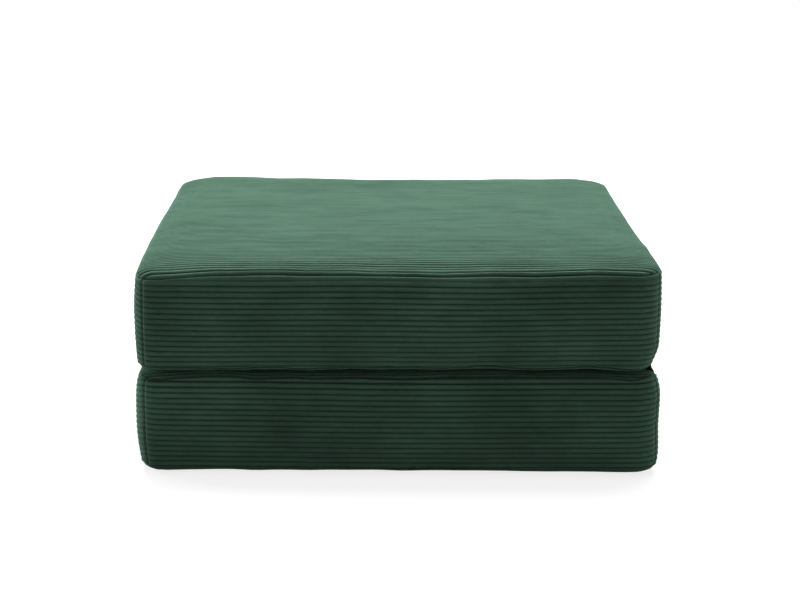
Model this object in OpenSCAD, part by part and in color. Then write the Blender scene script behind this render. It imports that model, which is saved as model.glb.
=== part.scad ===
// Folding chair bed: two crowned foam slabs in corduroy covers, stacked one on the other and
// joined along one short side by a hinge strip. Unfolded, the two slabs make a single bed.
// X runs along the slabs, with the fold at +X. The front faces -Y and the floor is at zero height.
// Every slab is drawn in its own frame: the fold plane is at zero and its outer face is upwards.

/* [Slab] */
// Length of each slab, from its free end to the fold
slab_length = 1000; // [800:10:1200]
// Depth of each slab from front to rear, which is the width of the open bed
slab_depth = 900; // [700:10:1100]
// Thickness of each slab at its crown
slab_thickness = 200; // [140:5:260]
// Radius of the upright corners at the seams, seen from above
corner_radius = 55; // [35:1:80]
// Gap between the two slabs where they lie on each other
fold_gap = 0.3; // [0.2:0.1:1]

/* [Cushion form] */
// How far a wall swells past its seams, halfway between two corners
wall_swell = 9; // [5:0.5:14]
// How far the upright corners swell past the seams
corner_swell = 3; // [1:0.5:6]
// How far the seams of an outer face lie below its crown
outer_crown = 14; // [8:0.5:20]
// How far the seams of an inner face lie below its crown
inner_crown = 10; // [6:0.5:14]
// Distance in from a seam over which a face rises
crown_run = 60; // [40:5:100]
// How far the seams pull in halfway between two corners
seam_draw = 4; // [1:0.5:7]
// Depth to which the crown is pressed flat where a face lies on something
pressed_depth = 5; // [2:0.5:8]

/* [Cover] */
// Thickness of the corduroy with its backing
cover_thickness = 2; // [1.4:0.1:3]
// Gap between two panels of one cover at their seam
seam_gap = 0.3; // [0.2:0.1:0.5]

/* [Filling] */
// Thickness of the wadding round the foam
wadding_thickness = 6; // [3:0.5:9]
// Clearance between one layer and the next
layer_gap = 0.3; // [0.2:0.1:0.6]

/* [Hinge strip] */
// Thickness of the hinge strip
strip_thickness = 1.2; // [0.8:0.1:2]

/* [Zip] */
// Distance from the start of a rear corner to the end of the zip
zip_margin = 37; // [25:1:80]
// Height of the slot in the rear wall that shows the zip
zip_slot = 12; // [11:0.5:16]
// Width of one zip tape, from the middle of the zip
tape_width = 16; // [12:1:20]
// Thickness of the zip tape
tape_thickness = 0.8; // [0.5:0.1:1.2]
// Diameter of each coil
coil_diameter = 2.4; // [1.8:0.1:2.8]
// Gap between the two coils, in which the slider's wedge runs
coil_gap = 1.8; // [1.4:0.1:2.4]
// Length of an end stop
stop_length = 4; // [3:0.5:6]
// Running clearance round the moving pieces of the zip
zip_clearance = 0.3; // [0.2:0.05:0.5]
// Gap left between the slider and an end stop
park_gap = 0.5; // [0.3:0.1:2]
// Length of the slider
slider_length = 15; // [12:0.5:20]
// Thickness of the slider's two plates
plate_thickness = 1.2; // [0.8:0.1:1.6]
// Thickness of the slider's side rails
rail_thickness = 0.9; // [0.7:0.1:1.2]
// Width of the strap that holds the pull
bail_width = 2.4; // [1.8:0.1:3]
// Thickness of that strap
bail_thickness = 1; // [0.8:0.1:1.4]
// Length of the pull, from its bar to its tip
pull_length = 34; // [24:1:44]
// Width of the pull
pull_width = 8; // [7:0.5:9]
// Thickness of the pull and diameter of its bar
pull_thickness = 1.6; // [1.2:0.1:2]
// Diameter of the hole near the pull's tip
pull_hole = 3; // [2:0.5:4]

/* [Hidden] */

// Colours
cord_green = [0.16, 0.25, 0.2];
tape_green = [0.1, 0.16, 0.13];
foam_cream = [0.93, 0.89, 0.76];
wadding_white = [0.95, 0.95, 0.93];
coil_green = [0.08, 0.12, 0.1];
zip_metal = [0.45, 0.45, 0.44];

// One quarter of a slab's outline runs from one upright corner seam to the next
arc_steps = 2;
quarter_points = 2 * arc_steps + 4;
zip_first_column = arc_steps + 1;
zip_last_column = arc_steps + 3;
front_index = 0;
right_index = 1;
rear_index = 2;
left_index = 3;
// Corner radius that the outline never goes below where it shrinks towards a crown
least_radius = 12;

// Rings on a face: shares of the crown's run, then shares of the way from there to the middle,
// where a pressed face is flat and needs only one
edge_shares = [0, 0.15, 0.4, 1];
pressed_field_shares = [0.35];
free_field_shares = [0.35, 0.85];
// Share of the crown that is reached at the end of its run
edge_rise_share = 0.65;
// Share of the wall's half height at which its middle rings lie
ring_level_share = 0.5;

// Half sizes of a slab at its seams
seam_half_x = slab_length / 2 - wall_swell;
seam_half_y = slab_depth / 2 - wall_swell;
face_reach = min(seam_half_x, seam_half_y);

// Heights in the slab's own frame
inner_top = fold_gap / 2;
inner_seam = inner_top + inner_crown;
outer_seam = slab_thickness - outer_crown;
wall_mid = (inner_seam + outer_seam) / 2;
wall_half = (outer_seam - inner_seam) / 2;

// A station is a ring of the form: how far it lies out from the seams' outline at the corners,
// its height, and how much further in it lies halfway between two corners.
function crown_rise(d) =
    edge_rise_share * (1 - pow(1 - min(d / crown_run, 1), 3))
    + (1 - edge_rise_share) * sin(90 * min(d / face_reach, 1));
function crown_height(d, crown, pressed) =
    pressed
        ? min((crown + pressed_depth) * crown_rise(d), crown)
        : crown * crown_rise(d);
function ring_distances(pressed) = concat(
    [for (s = edge_shares) s * crown_run],
    [for (s = pressed ? pressed_field_shares : free_field_shares)
        crown_run + s * (face_reach - crown_run)]
);
function seam_pull(d) = seam_draw * (1 - min(d / crown_run, 1));
function outer_stations(pressed) = [
    for (d = ring_distances(pressed))
        [-d, outer_seam + crown_height(d, outer_crown, pressed), seam_pull(d)]
];
function inner_stations() = [
    for (d = ring_distances(true))
        [-d, inner_seam - crown_height(d, inner_crown, true), seam_pull(d)]
];
function swell_share(level) = 1 - level * level;
function wall_station(level) = [
    corner_swell * swell_share(level),
    wall_mid + level * wall_half,
    seam_draw * (1 - swell_share(level)) - (wall_swell - corner_swell) * swell_share(level)
];
function reversed(list) = [for (i = [len(list) - 1:-1:0]) list[i]];
// Heights above the wall's middle at which the zip's slot and the wadding end
slot_height = zip_slot / 2;
wadding_edge = tape_width + layer_gap;
wall_levels = [slot_height / wall_half, wadding_edge / wall_half, ring_level_share];
function wall_stations() = [
    for (level = concat(-reversed(wall_levels), wall_levels))
        wall_station(level)
];
// Stations from the middle of the inner face, over both seams, to the middle of the outer face
function profile(pressed) =
    concat(reversed(inner_stations()), wall_stations(), outer_stations(pressed));
inner_seam_index = len(edge_shares) + len(pressed_field_shares) - 1;
outer_seam_index = inner_seam_index + len(wall_stations()) + 1;

// The same form, shrunk inwards by a thickness
function unit(v) = v / norm(v);
function direction(a, b) = unit([b[0] - a[0], b[1] - a[1]]);
function inset(list, depth) = [
    for (i = [0:len(list) - 1])
        let (
            before = i > 0 ? direction(list[i - 1], list[i]) : [0, 0],
            after = i < len(list) - 1 ? direction(list[i], list[i + 1]) : [0, 0],
            along = unit(before + after)
        )
            [list[i][0] - depth * along[1], list[i][1] + depth * along[0], list[i][2]]
];
function slice(list, first, last) = [for (i = [first:last]) list[i]];
function pick(list, indices) = [for (i = indices) list[i]];
// A station moved towards the next one, so that two panels leave a gap at their seam
function eased(from, to, distance) =
    from + (to - from) * distance / norm([to[0] - from[0], to[1] - from[1]]);

// Points of a quarter of the outline, in the frame of its own side, which faces -Y
function side_shares(straight) =
    [0, zip_margin / straight, 0.5, 1 - zip_margin / straight, 1];
function quarter(a, b, r, pull) = concat(
    [for (j = [0:arc_steps - 1])
        let (angle = -135 + 45 * j / arc_steps)
            [-(a - r) + r * cos(angle), -(b - r) + r * sin(angle)]],
    [for (s = side_shares(2 * (a - r)))
        [(2 * s - 1) * (a - r), -b + pull * (1 - pow(2 * s - 1, 2))]],
    [for (j = [1:arc_steps - 1])
        let (angle = -90 + 45 * j / arc_steps)
            [(a - r) + r * cos(angle), -(b - r) + r * sin(angle)]]
);
function turned(p, k, z) = [
    p[0] * cos(90 * k) - p[1] * sin(90 * k),
    p[0] * sin(90 * k) + p[1] * cos(90 * k),
    z
];
// The zip keeps the rear wall straight between its corners
function ring(station) =
    let (
        a = seam_half_x + station[0],
        b = seam_half_y + station[0],
        r = max(corner_radius + station[0], least_radius)
    )
        [for (k = [front_index:left_index])
            let (pull = k == rear_index ? max(station[2], 0) : station[2])
                for (p = quarter(k % 2 == 0 ? a : b, k % 2 == 0 ? b : a, r, pull))
                    turned(p, k, station[1])];
function rings(stations) = [for (s = stations) ring(s)];

// One wall's columns of a ring, eased from the corner seams at both ends
function wall_row(points, k) =
    let (
        p = [for (j = [0:quarter_points]) points[(k * quarter_points + j) % len(points)]]
    )
        concat(
            [eased(p[0], p[1], seam_gap / 2)],
            slice(p, 1, quarter_points - 1),
            [eased(p[quarter_points], p[quarter_points - 1], seam_gap / 2)]
        );
function wall_rows(stations, k) = [for (s = stations) wall_row(ring(s), k)];

// Faces: corners are given in order round each quad
function joined(rows) = [for (row = rows) each row];
function grid(rows, cols, wrap, base) = [
    for (r = [0:rows - 2])
        for (c = [0:(wrap ? cols : cols - 1) - 1])
            let (n = (c + 1) % cols)
                [base + r * cols + c, base + r * cols + n,
                 base + (r + 1) * cols + n, base + (r + 1) * cols + c]
];
function facing_out(quads) = [for (q = quads) each [[q[0], q[2], q[1]], [q[0], q[3], q[2]]]];
function facing_in(quads) = [for (q = quads) each [[q[0], q[1], q[2]], [q[0], q[2], q[3]]]];

// A wall panel: a grid outside, the same grid inside, and a rim on all four edges
module wall_shell(outside, inside) {
    rows = len(outside);
    cols = len(outside[0]);
    base = rows * cols;
    top = (rows - 1) * cols;
    polyhedron(
        points = concat(joined(outside), joined(inside)),
        faces = concat(
            facing_out(grid(rows, cols, false, 0)),
            facing_in(grid(rows, cols, false, base)),
            facing_in([for (c = [0:cols - 2]) [c, c + 1, base + c + 1, base + c]]),
            facing_in([for (c = [0:cols - 2])
                [top + c + 1, top + c, base + top + c, base + top + c + 1]]),
            facing_in([for (r = [0:rows - 2])
                [(r + 1) * cols, r * cols, base + r * cols, base + (r + 1) * cols]]),
            facing_in([for (r = [1:rows - 1])
                [r * cols - 1, (r + 1) * cols - 1, base + (r + 1) * cols - 1, base + r * cols - 1]])
        )
    );
}

// A face panel or a wadding sheet: rings that close over the middle, with a rim at the edge.
// The stations run towards the outer face, or towards the seam where they start in the middle.
module capped_shell(outside, inside, starts_at_middle) {
    rows = len(outside);
    cols = len(outside[0]);
    base = rows * cols;
    top = (rows - 1) * cols;
    tip = 2 * base;
    middle = starts_at_middle ? 0 : top;
    edge = starts_at_middle ? top : 0;
    middle_row = starts_at_middle ? 0 : rows - 1;
    polyhedron(
        points = concat(
            joined(outside),
            joined(inside),
            [[0, 0, outside[middle_row][0][2]], [0, 0, inside[middle_row][0][2]]]
        ),
        faces = concat(
            facing_out(grid(rows, cols, true, 0)),
            facing_in(grid(rows, cols, true, base)),
            [for (c = [0:cols - 1])
                let (n = (c + 1) % cols)
                    each starts_at_middle
                        ? [[middle + c, middle + n, tip], [base + middle + n, base + middle + c, tip + 1]]
                        : [[middle + n, middle + c, tip], [base + middle + c, base + middle + n, tip + 1]]],
            facing_in([for (c = [0:cols - 1])
                let (n = (c + 1) % cols)
                    starts_at_middle
                        ? [edge + n, edge + c, base + edge + c, base + edge + n]
                        : [edge + c, edge + n, base + edge + n, base + edge + c]])
        )
    );
}

// A closed cushion form through all its rings
module solid_form(stations) {
    rows = len(stations);
    points = rings(stations);
    cols = len(points[0]);
    top = (rows - 1) * cols;
    tip = rows * cols;
    polyhedron(
        points = concat(
            joined(points),
            [[0, 0, stations[0][1]], [0, 0, stations[rows - 1][1]]]
        ),
        faces = concat(
            facing_out(grid(rows, cols, true, 0)),
            [for (c = [0:cols - 1]) [c, (c + 1) % cols, tip]],
            [for (c = [0:cols - 1]) [top + (c + 1) % cols, top + c, tip + 1]]
        )
    );
}

// Depths of the layers below the outside of the cover
wadding_outside = cover_thickness + layer_gap;
wadding_inside = wadding_outside + wadding_thickness;
foam_outside = wadding_inside + layer_gap;

// The foam block and its wadding follow the cover's seams and some of the rings of its faces
function outer_filling(form) =
    pick(form, [outer_seam_index, outer_seam_index + 2, outer_seam_index + 3, len(form) - 1]);
function inner_filling(form) =
    pick(form, [0, inner_seam_index - 3, inner_seam_index - 2, inner_seam_index]);
inner_ring_level = inner_seam_index + 1;
outer_ring_level = outer_seam_index - 1;

module foam_core(pressed) {
    form = inset(profile(pressed), foam_outside);
    color(foam_cream)
        solid_form(concat(
            inner_filling(form),
            [form[inner_ring_level], form[outer_ring_level]],
            outer_filling(form)
        ));
}

// A sheet of wadding lies over one face and wraps down the walls, short of the zip's tapes
function wadding_stations(form, outer) =
    outer
        ? concat(
            slice(form, outer_ring_level - 1, outer_ring_level),
            outer_filling(form))
        : concat(
            inner_filling(form),
            slice(form, inner_ring_level, inner_ring_level + 1));

module outer_wadding(pressed) {
    color(wadding_white)
        capped_shell(
            rings(wadding_stations(inset(profile(pressed), wadding_outside), true)),
            rings(wadding_stations(inset(profile(pressed), wadding_inside), true)),
            false
        );
}

module inner_wadding() {
    color(wadding_white)
        capped_shell(
            rings(wadding_stations(inset(profile(false), wadding_outside), false)),
            rings(wadding_stations(inset(profile(false), wadding_inside), false)),
            true
        );
}

// Stations of the two face panels and the walls, each eased from its seams
function outer_face_part(form) = concat(
    [eased(form[outer_seam_index], form[outer_seam_index + 1], seam_gap / 2)],
    slice(form, outer_seam_index + 1, len(form) - 1)
);
function inner_face_part(form) = concat(
    slice(form, 0, inner_seam_index - 1),
    [eased(form[inner_seam_index], form[inner_seam_index - 1], seam_gap / 2)]
);
function wall_part(form) = concat(
    [eased(form[inner_seam_index], form[inner_seam_index + 1], seam_gap / 2)],
    slice(form, inner_seam_index + 1, outer_seam_index - 1),
    [eased(form[outer_seam_index], form[outer_seam_index - 1], seam_gap / 2)]
);

module outer_panel(pressed) {
    color(cord_green)
        capped_shell(
            rings(outer_face_part(profile(pressed))),
            rings(outer_face_part(inset(profile(pressed), cover_thickness))),
            false
        );
}

module inner_panel() {
    color(cord_green)
        capped_shell(
            rings(inner_face_part(profile(false))),
            rings(inner_face_part(inset(profile(false), cover_thickness))),
            true
        );
}

// A wall with no slot in it leaves the slot's two stations out
slot_rows = len(wall_levels);
function plain_rows(part, side) = wall_rows(
    concat(slice(part, 0, slot_rows - 1), slice(part, slot_rows + 2, len(part) - 1)),
    side
);
module wall_panel(side, pressed) {
    color(cord_green)
        wall_shell(
            plain_rows(wall_part(profile(pressed)), side),
            plain_rows(wall_part(inset(profile(pressed), cover_thickness)), side)
        );
}

// The rear wall is split at half height. Its two panels leave the zip's slot between them and
// meet beyond its ends.
function slot_row(slot_station, closed_station) =
    let (
        open_row = wall_row(ring(slot_station), rear_index),
        closed_row = wall_row(ring(closed_station), rear_index)
    )
        [for (c = [0:quarter_points])
            c >= zip_first_column && c <= zip_last_column ? open_row[c] : closed_row[c]];
function rear_rows(form, depth, outer) =
    let (
        part = wall_part(form),
        last = len(part) - 1,
        closed = [corner_swell - depth, wall_mid + (outer ? 1 : -1) * seam_gap / 2, 0]
    )
        outer
            ? concat(
                [slot_row(part[last - slot_rows], closed)],
                wall_rows(slice(part, last - slot_rows + 1, last), rear_index))
            : concat(
                wall_rows(slice(part, 0, slot_rows - 1), rear_index),
                [slot_row(part[slot_rows], closed)]);

module rear_half_panel(pressed, outer) {
    color(cord_green)
        wall_shell(
            rear_rows(profile(pressed), 0, outer),
            rear_rows(inset(profile(pressed), cover_thickness), cover_thickness, outer)
        );
}

// Depth of the rear wall's inside at a height, halfway between its corners
rear_inside = [
    for (s = slice(inset(profile(false), cover_thickness), inner_seam_index, outer_seam_index))
        [s[1], s[0] - max(s[2], 0)]
];
function rear_inside_at(z) = seam_half_y + lookup(z, rear_inside);

// The zip's planes, going rearwards, and its ends
tape_outside = rear_inside_at(wall_mid + tape_width) - layer_gap;
tape_inside = tape_outside - tape_thickness;
coil_outside = tape_outside + coil_diameter;
plate_inside = coil_outside + zip_clearance;
plate_outside = plate_inside + plate_thickness;
inner_plate_outside = tape_inside - zip_clearance;
bar_middle = plate_outside + zip_clearance + pull_thickness / 2;
bail_window_top = bar_middle + pull_thickness / 2 + zip_clearance;
zip_half = seam_half_x - corner_radius - zip_margin;

module zip_tape(outer) {
    color(tape_green)
        translate([-zip_half - stop_length, tape_inside,
                   wall_mid + (outer ? coil_gap / 2 : -tape_width)])
            cube([2 * (zip_half + stop_length), tape_thickness, tape_width - coil_gap / 2]);
}

// A coil is sewn along the edge of its tape
coil_middle = (coil_gap + coil_diameter) / 2;
module zip_coil(outer) {
    color(coil_green)
        translate([-zip_half, tape_outside + coil_diameter / 2,
                   wall_mid + (outer ? coil_middle : -coil_middle)])
            rotate([0, 90, 0])
                cylinder(h = 2 * zip_half, d = coil_diameter, $fn = 32);
}

// Two clips close the ends of the zip, each across both coils
stop_height = 2 * coil_diameter + coil_gap;
module zip_stops() {
    color(zip_metal)
        for (x = [-zip_half - stop_length, zip_half])
            translate([x, tape_outside, wall_mid - stop_height / 2])
                cube([stop_length, coil_diameter, stop_height]);
}

// The slider: two plates on a wedge, with side rails over the coils and a strap for the pull
slider_middle = -zip_half + park_gap + slider_length / 2;
rail_inside = coil_gap / 2 + coil_diameter + zip_clearance;
rail_outside = rail_inside + rail_thickness;
wedge_half = coil_gap / 2 - zip_clearance;
// Shares of half the slider's length: its shoulders, its wedge and the feet of its strap
shoulder_start_share = -0.85;
shoulder_end_share = 0.3;
wedge_start_share = -0.85;
wedge_middle_share = -0.5;
wedge_end_share = -0.1;
bail_foot_share = 0.66;
bail_top_share = 0.4;
// Half height of a plate at its narrow end, as a share of that at its shoulders
tail_share = 0.8;

module slider_plate(inside, thickness) {
    half = slider_length / 2;
    translate([slider_middle, inside + thickness, wall_mid])
        rotate([90, 0, 0])
            linear_extrude(thickness)
                polygon([
                    [-half, -rail_inside],
                    [half * shoulder_start_share, -rail_outside],
                    [half * shoulder_end_share, -rail_outside],
                    [half, -rail_outside * tail_share],
                    [half, rail_outside * tail_share],
                    [half * shoulder_end_share, rail_outside],
                    [half * shoulder_start_share, rail_outside],
                    [-half, rail_inside]
                ]);
}

module slider_rail(sign) {
    half = slider_length / 2;
    low = tape_outside + zip_clearance;
    translate([
        slider_middle + half * shoulder_start_share,
        low,
        wall_mid + (sign > 0 ? rail_inside : -rail_outside)
    ])
        cube([
            half * (shoulder_end_share - shoulder_start_share),
            plate_outside - low,
            rail_thickness
        ]);
}

module slider_wedge() {
    half = slider_length / 2;
    translate([slider_middle, plate_outside, wall_mid])
        rotate([90, 0, 0])
            linear_extrude(plate_outside - inner_plate_outside + plate_thickness)
                polygon([
                    [half * wedge_start_share, 0],
                    [half * wedge_middle_share, -wedge_half],
                    [half * wedge_end_share, 0],
                    [half * wedge_middle_share, wedge_half]
                ]);
}

module slider_bail() {
    foot = slider_length / 2 * bail_foot_share;
    top = slider_length / 2 * bail_top_share;
    window = bail_window_top - plate_outside;
    rise = window + bail_thickness;
    translate([slider_middle, plate_outside, wall_mid - bail_width / 2])
        linear_extrude(bail_width)
            difference() {
                polygon([
                    [-foot, -plate_thickness / 2],
                    [foot, -plate_thickness / 2],
                    [foot, rise / 2],
                    [top, rise],
                    [-top, rise],
                    [-foot, rise / 2]
                ]);
                polygon([
                    [-foot + bail_thickness, 0],
                    [foot - bail_thickness, 0],
                    [foot - bail_thickness, window / 2],
                    [top - bail_thickness / 2, window],
                    [-top + bail_thickness / 2, window],
                    [-foot + bail_thickness, window / 2]
                ]);
            }
}

module zip_slider() {
    color(zip_metal)
        union() {
            slider_plate(plate_inside, plate_thickness);
            slider_plate(inner_plate_outside - plate_thickness, plate_thickness);
            slider_rail(1);
            slider_rail(-1);
            slider_wedge();
            slider_bail();
        }
}

// The pull: a bar under the slider's strap, two cheeks beside it and a tab with a round tip
side_play = 2 * zip_clearance;
pull_window = bail_width + 2 * side_play;
window_end = slider_length / 2 * bail_foot_share + side_play;
module zip_pull() {
    color(zip_metal)
        translate([slider_middle, bar_middle, wall_mid])
            union() {
                translate([0, 0, -pull_width / 2])
                    cylinder(h = pull_width, d = pull_thickness, $fn = 32);
                translate([0, pull_thickness / 2, 0])
                    rotate([90, 0, 0])
                        linear_extrude(pull_thickness)
                            difference() {
                                union() {
                                    translate([0, -pull_width / 2])
                                        square([pull_length - pull_width / 2, pull_width]);
                                    translate([pull_length - pull_width / 2, 0])
                                        circle(d = pull_width, $fn = 48);
                                }
                                translate([-pull_width, -pull_window / 2])
                                    square([pull_width + window_end, pull_window]);
                                translate([pull_length - pull_width / 2, 0])
                                    circle(d = pull_hole, $fn = 32);
                            }
            }
}

// The hinge strip closes the notch at the fold. It is sewn to the inner seams of both slabs and
// loops out as far as the walls. Its lips follow the two inner faces where the seams draw in.
strip_rise = inner_seam - layer_gap;
strip_reach = wall_swell;
inner_face_heights = [for (s = inner_stations()) [-s[0], s[1]]];
lip_height = lookup(seam_draw, inner_face_heights) - layer_gap;
lip_end = seam_half_x - seam_draw;
strip_length = 2 * (seam_half_y - corner_radius);
arc_points = 12;
function strip_side(depth) = concat(
    [[lip_end, lip_height - depth]],
    [for (j = [0:arc_points])
        let (angle = 90 - 180 * j / arc_points)
            [seam_half_x + (strip_reach - depth) * cos(angle), (strip_rise - depth) * sin(angle)]],
    [[lip_end, depth - lip_height]]
);

module hinge_strip() {
    color(cord_green)
        translate([0, strip_length / 2, slab_thickness])
            rotate([90, 0, 0])
                linear_extrude(strip_length)
                    polygon(concat(strip_side(0), reversed(strip_side(strip_thickness))));
}

// The upper slab stands on the fold plane and the lower one hangs below it as its mirror image
module upper_slab() {
    translate([0, 0, slab_thickness])
        children();
}

module lower_slab() {
    translate([0, 0, slab_thickness])
        mirror([0, 0, 1])
            children();
}

// The lower slab's outer face is pressed flat on the floor, and the upper slab's is free
module lower_foam_core() lower_slab() foam_core(true);
module lower_outer_wadding() lower_slab() outer_wadding(true);
module lower_inner_wadding() lower_slab() inner_wadding();
module lower_outer_panel() lower_slab() outer_panel(true);
module lower_inner_panel() lower_slab() inner_panel();
module lower_front_panel() lower_slab() wall_panel(front_index, true);
module lower_right_panel() lower_slab() wall_panel(right_index, true);
module lower_left_panel() lower_slab() wall_panel(left_index, true);
module lower_rear_outer_panel() lower_slab() rear_half_panel(true, true);
module lower_rear_inner_panel() lower_slab() rear_half_panel(true, false);
module lower_zip_outer_tape() lower_slab() zip_tape(true);
module lower_zip_inner_tape() lower_slab() zip_tape(false);
module lower_zip_outer_coil() lower_slab() zip_coil(true);
module lower_zip_inner_coil() lower_slab() zip_coil(false);
module lower_zip_stops() lower_slab() zip_stops();
module lower_zip_slider() lower_slab() zip_slider();
module lower_zip_pull() lower_slab() zip_pull();
module upper_foam_core() upper_slab() foam_core(false);
module upper_outer_wadding() upper_slab() outer_wadding(false);
module upper_inner_wadding() upper_slab() inner_wadding();
module upper_outer_panel() upper_slab() outer_panel(false);
module upper_inner_panel() upper_slab() inner_panel();
module upper_front_panel() upper_slab() wall_panel(front_index, false);
module upper_right_panel() upper_slab() wall_panel(right_index, false);
module upper_left_panel() upper_slab() wall_panel(left_index, false);
module upper_rear_outer_panel() upper_slab() rear_half_panel(false, true);
module upper_rear_inner_panel() upper_slab() rear_half_panel(false, false);
module upper_zip_outer_tape() upper_slab() zip_tape(true);
module upper_zip_inner_tape() upper_slab() zip_tape(false);
module upper_zip_outer_coil() upper_slab() zip_coil(true);
module upper_zip_inner_coil() upper_slab() zip_coil(false);
module upper_zip_stops() upper_slab() zip_stops();
module upper_zip_slider() upper_slab() zip_slider();
module upper_zip_pull() upper_slab() zip_pull();

lower_foam_core();
lower_outer_wadding();
lower_inner_wadding();
lower_outer_panel();
lower_inner_panel();
lower_front_panel();
lower_right_panel();
lower_left_panel();
lower_rear_outer_panel();
lower_rear_inner_panel();
lower_zip_outer_tape();
lower_zip_inner_tape();
lower_zip_outer_coil();
lower_zip_inner_coil();
lower_zip_stops();
lower_zip_slider();
lower_zip_pull();
hinge_strip();
upper_foam_core();
upper_outer_wadding();
upper_inner_wadding();
upper_outer_panel();
upper_inner_panel();
upper_front_panel();
upper_right_panel();
upper_left_panel();
upper_rear_outer_panel();
upper_rear_inner_panel();
upper_zip_outer_tape();
upper_zip_inner_tape();
upper_zip_outer_coil();
upper_zip_inner_coil();
upper_zip_stops();
upper_zip_slider();
upper_zip_pull();
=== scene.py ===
import math

import bpy
import numpy as np
from mathutils import Matrix, Vector


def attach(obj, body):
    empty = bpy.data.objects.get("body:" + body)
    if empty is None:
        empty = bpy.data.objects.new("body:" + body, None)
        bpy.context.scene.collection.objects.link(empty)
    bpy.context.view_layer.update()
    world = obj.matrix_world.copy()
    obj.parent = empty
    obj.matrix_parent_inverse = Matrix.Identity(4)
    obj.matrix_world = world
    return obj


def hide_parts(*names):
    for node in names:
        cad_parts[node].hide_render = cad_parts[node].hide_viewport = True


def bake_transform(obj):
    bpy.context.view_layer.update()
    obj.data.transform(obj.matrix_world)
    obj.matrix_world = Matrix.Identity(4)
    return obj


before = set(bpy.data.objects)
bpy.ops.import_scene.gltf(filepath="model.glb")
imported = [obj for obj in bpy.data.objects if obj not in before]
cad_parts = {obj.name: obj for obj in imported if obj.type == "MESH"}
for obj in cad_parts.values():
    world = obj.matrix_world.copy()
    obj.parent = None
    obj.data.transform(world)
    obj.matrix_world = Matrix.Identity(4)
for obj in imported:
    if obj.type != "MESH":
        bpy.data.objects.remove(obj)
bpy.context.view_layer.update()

# ---------------------------------------------------------------- sizes, in metres
FOLD_Z = 0.200          # height of the fold plane
HX, HY = 0.491, 0.441   # half sizes of a slab at its seams
RUN, FREE_RUN = 0.060, 0.022  # distance in from a seam over which a pressed and a free face rise
OUTER_SEAM, OUTER_CROWN = 0.186, 0.0132  # height of a seam and of the crown past it
FREE_SEAM = 0.0052      # how much higher the seam of the free face stands than the solid's
INNER_SEAM, INNER_CROWN = 0.01015, 0.010
DRAW = (0.003, 0.001, 0.003, 0.0)  # how far the seams pull in halfway along each side
PRESS = 0.005           # how far a crown is pressed flat
SHOULDER = 0.0012       # how softly the pressed part of a crown begins
PITCH = 0.01045         # of the cord's wales
WALE = 0.0021           # height of a wale
ROWS_PER_WALE = 8       # of the fine panels' points
SPACING = 0.020, 0.018  # of their points along the wales, on a face and on a wall
# how far their points stand from the end of a wale
END_POINTS = (0, .0009, .0018, .003, .0045, .0065, .009, .0125, .0175, .024)
ZIP_HALF = 0.399        # half length of the zip
SLOT_HALF = 0.0060      # half height of the slot that shows it
OVERLAP = 0.0003        # of the two halves of the rear wall past the zip's ends
ZIP_MID = 0.098075      # height of the zip over the fold plane
TILT = 0.0080           # the upper slab's rise over its length, propped by the hinge's folds
FABRIC_OUTSIDE, FABRIC_INSIDE = 0.0009, 0.0021  # how far in the hinge fabric's faces lie
# radii of the upright corners: front left, front right, rear right, rear left
RADII = (0.042, 0.052, 0.078, 0.092)
# where on each corner's arc its seam stands, as an angle seen from above
SEAMS = (232, 328, 45, 135)
FRONT, RIGHT, REAR, LEFT = range(4)  # a slab's walls

# How the upper slab's outer seam sinks near its corners: place, reach along x and y, depth.
OUTER_DROOPS = (
    (-HX, -HY, 0.17, 0.16, 0.0075),
    (HX, -HY, 0.12, 0.12, 0.0010),
    (HX, HY, 0.10, 0.10, 0.0015),
    (-HX, HY, 0.10, 0.10, 0.0015),
)
HINGE_WALL_SWELL = 0.0045  # of the wall next to the hinge, so that the slabs can lie side by side
REAR_WALL_SWELL = 0.003    # of the rear wall between its corners, round the zip

# The cloth simulation of the covers.
SIM_FRAMES = 24
SIM_LIMIT = 0.006       # how far it may move a point
SIM_RIM = 0.017         # width of the outermost row of its coarse mesh
SIM_ROWS, SIM_COLUMNS, SIM_LEVELS = 30, 34, 8


def smooth(t):
    t = np.clip(t, 0, 1)
    return t * t * (3 - 2 * t)


def run_length(pts):
    """Distance along a line of points, from its start to each of them."""
    return np.r_[0, np.cumsum(np.linalg.norm(np.diff(pts, axis=0), axis=1))]


def rim(grid):
    """The outer entries of a grid, once round."""
    return list(grid[0]) + list(grid[1:-1, -1]) + list(grid[-1][::-1]) + list(grid[1:-1, 0][::-1])


class Waves:
    """A smooth field in space: a few plane waves with fixed directions and phases."""

    def __init__(self, seed, length, count=9, flat=1.0):
        rng = np.random.RandomState(seed)
        d = rng.normal(size=(count, 3)) * np.array([1, 1, flat])
        d /= np.linalg.norm(d, axis=1)[:, None]
        self.k = d * (2 * math.pi / (length * rng.uniform(0.7, 1.5, count)))[:, None]
        self.phase = rng.uniform(0, 2 * math.pi, count)
        self.scale = math.sqrt(2 / count)

    def __call__(self, p):
        return np.sin(p @ self.k.T + self.phase).sum(-1) * self.scale


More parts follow.
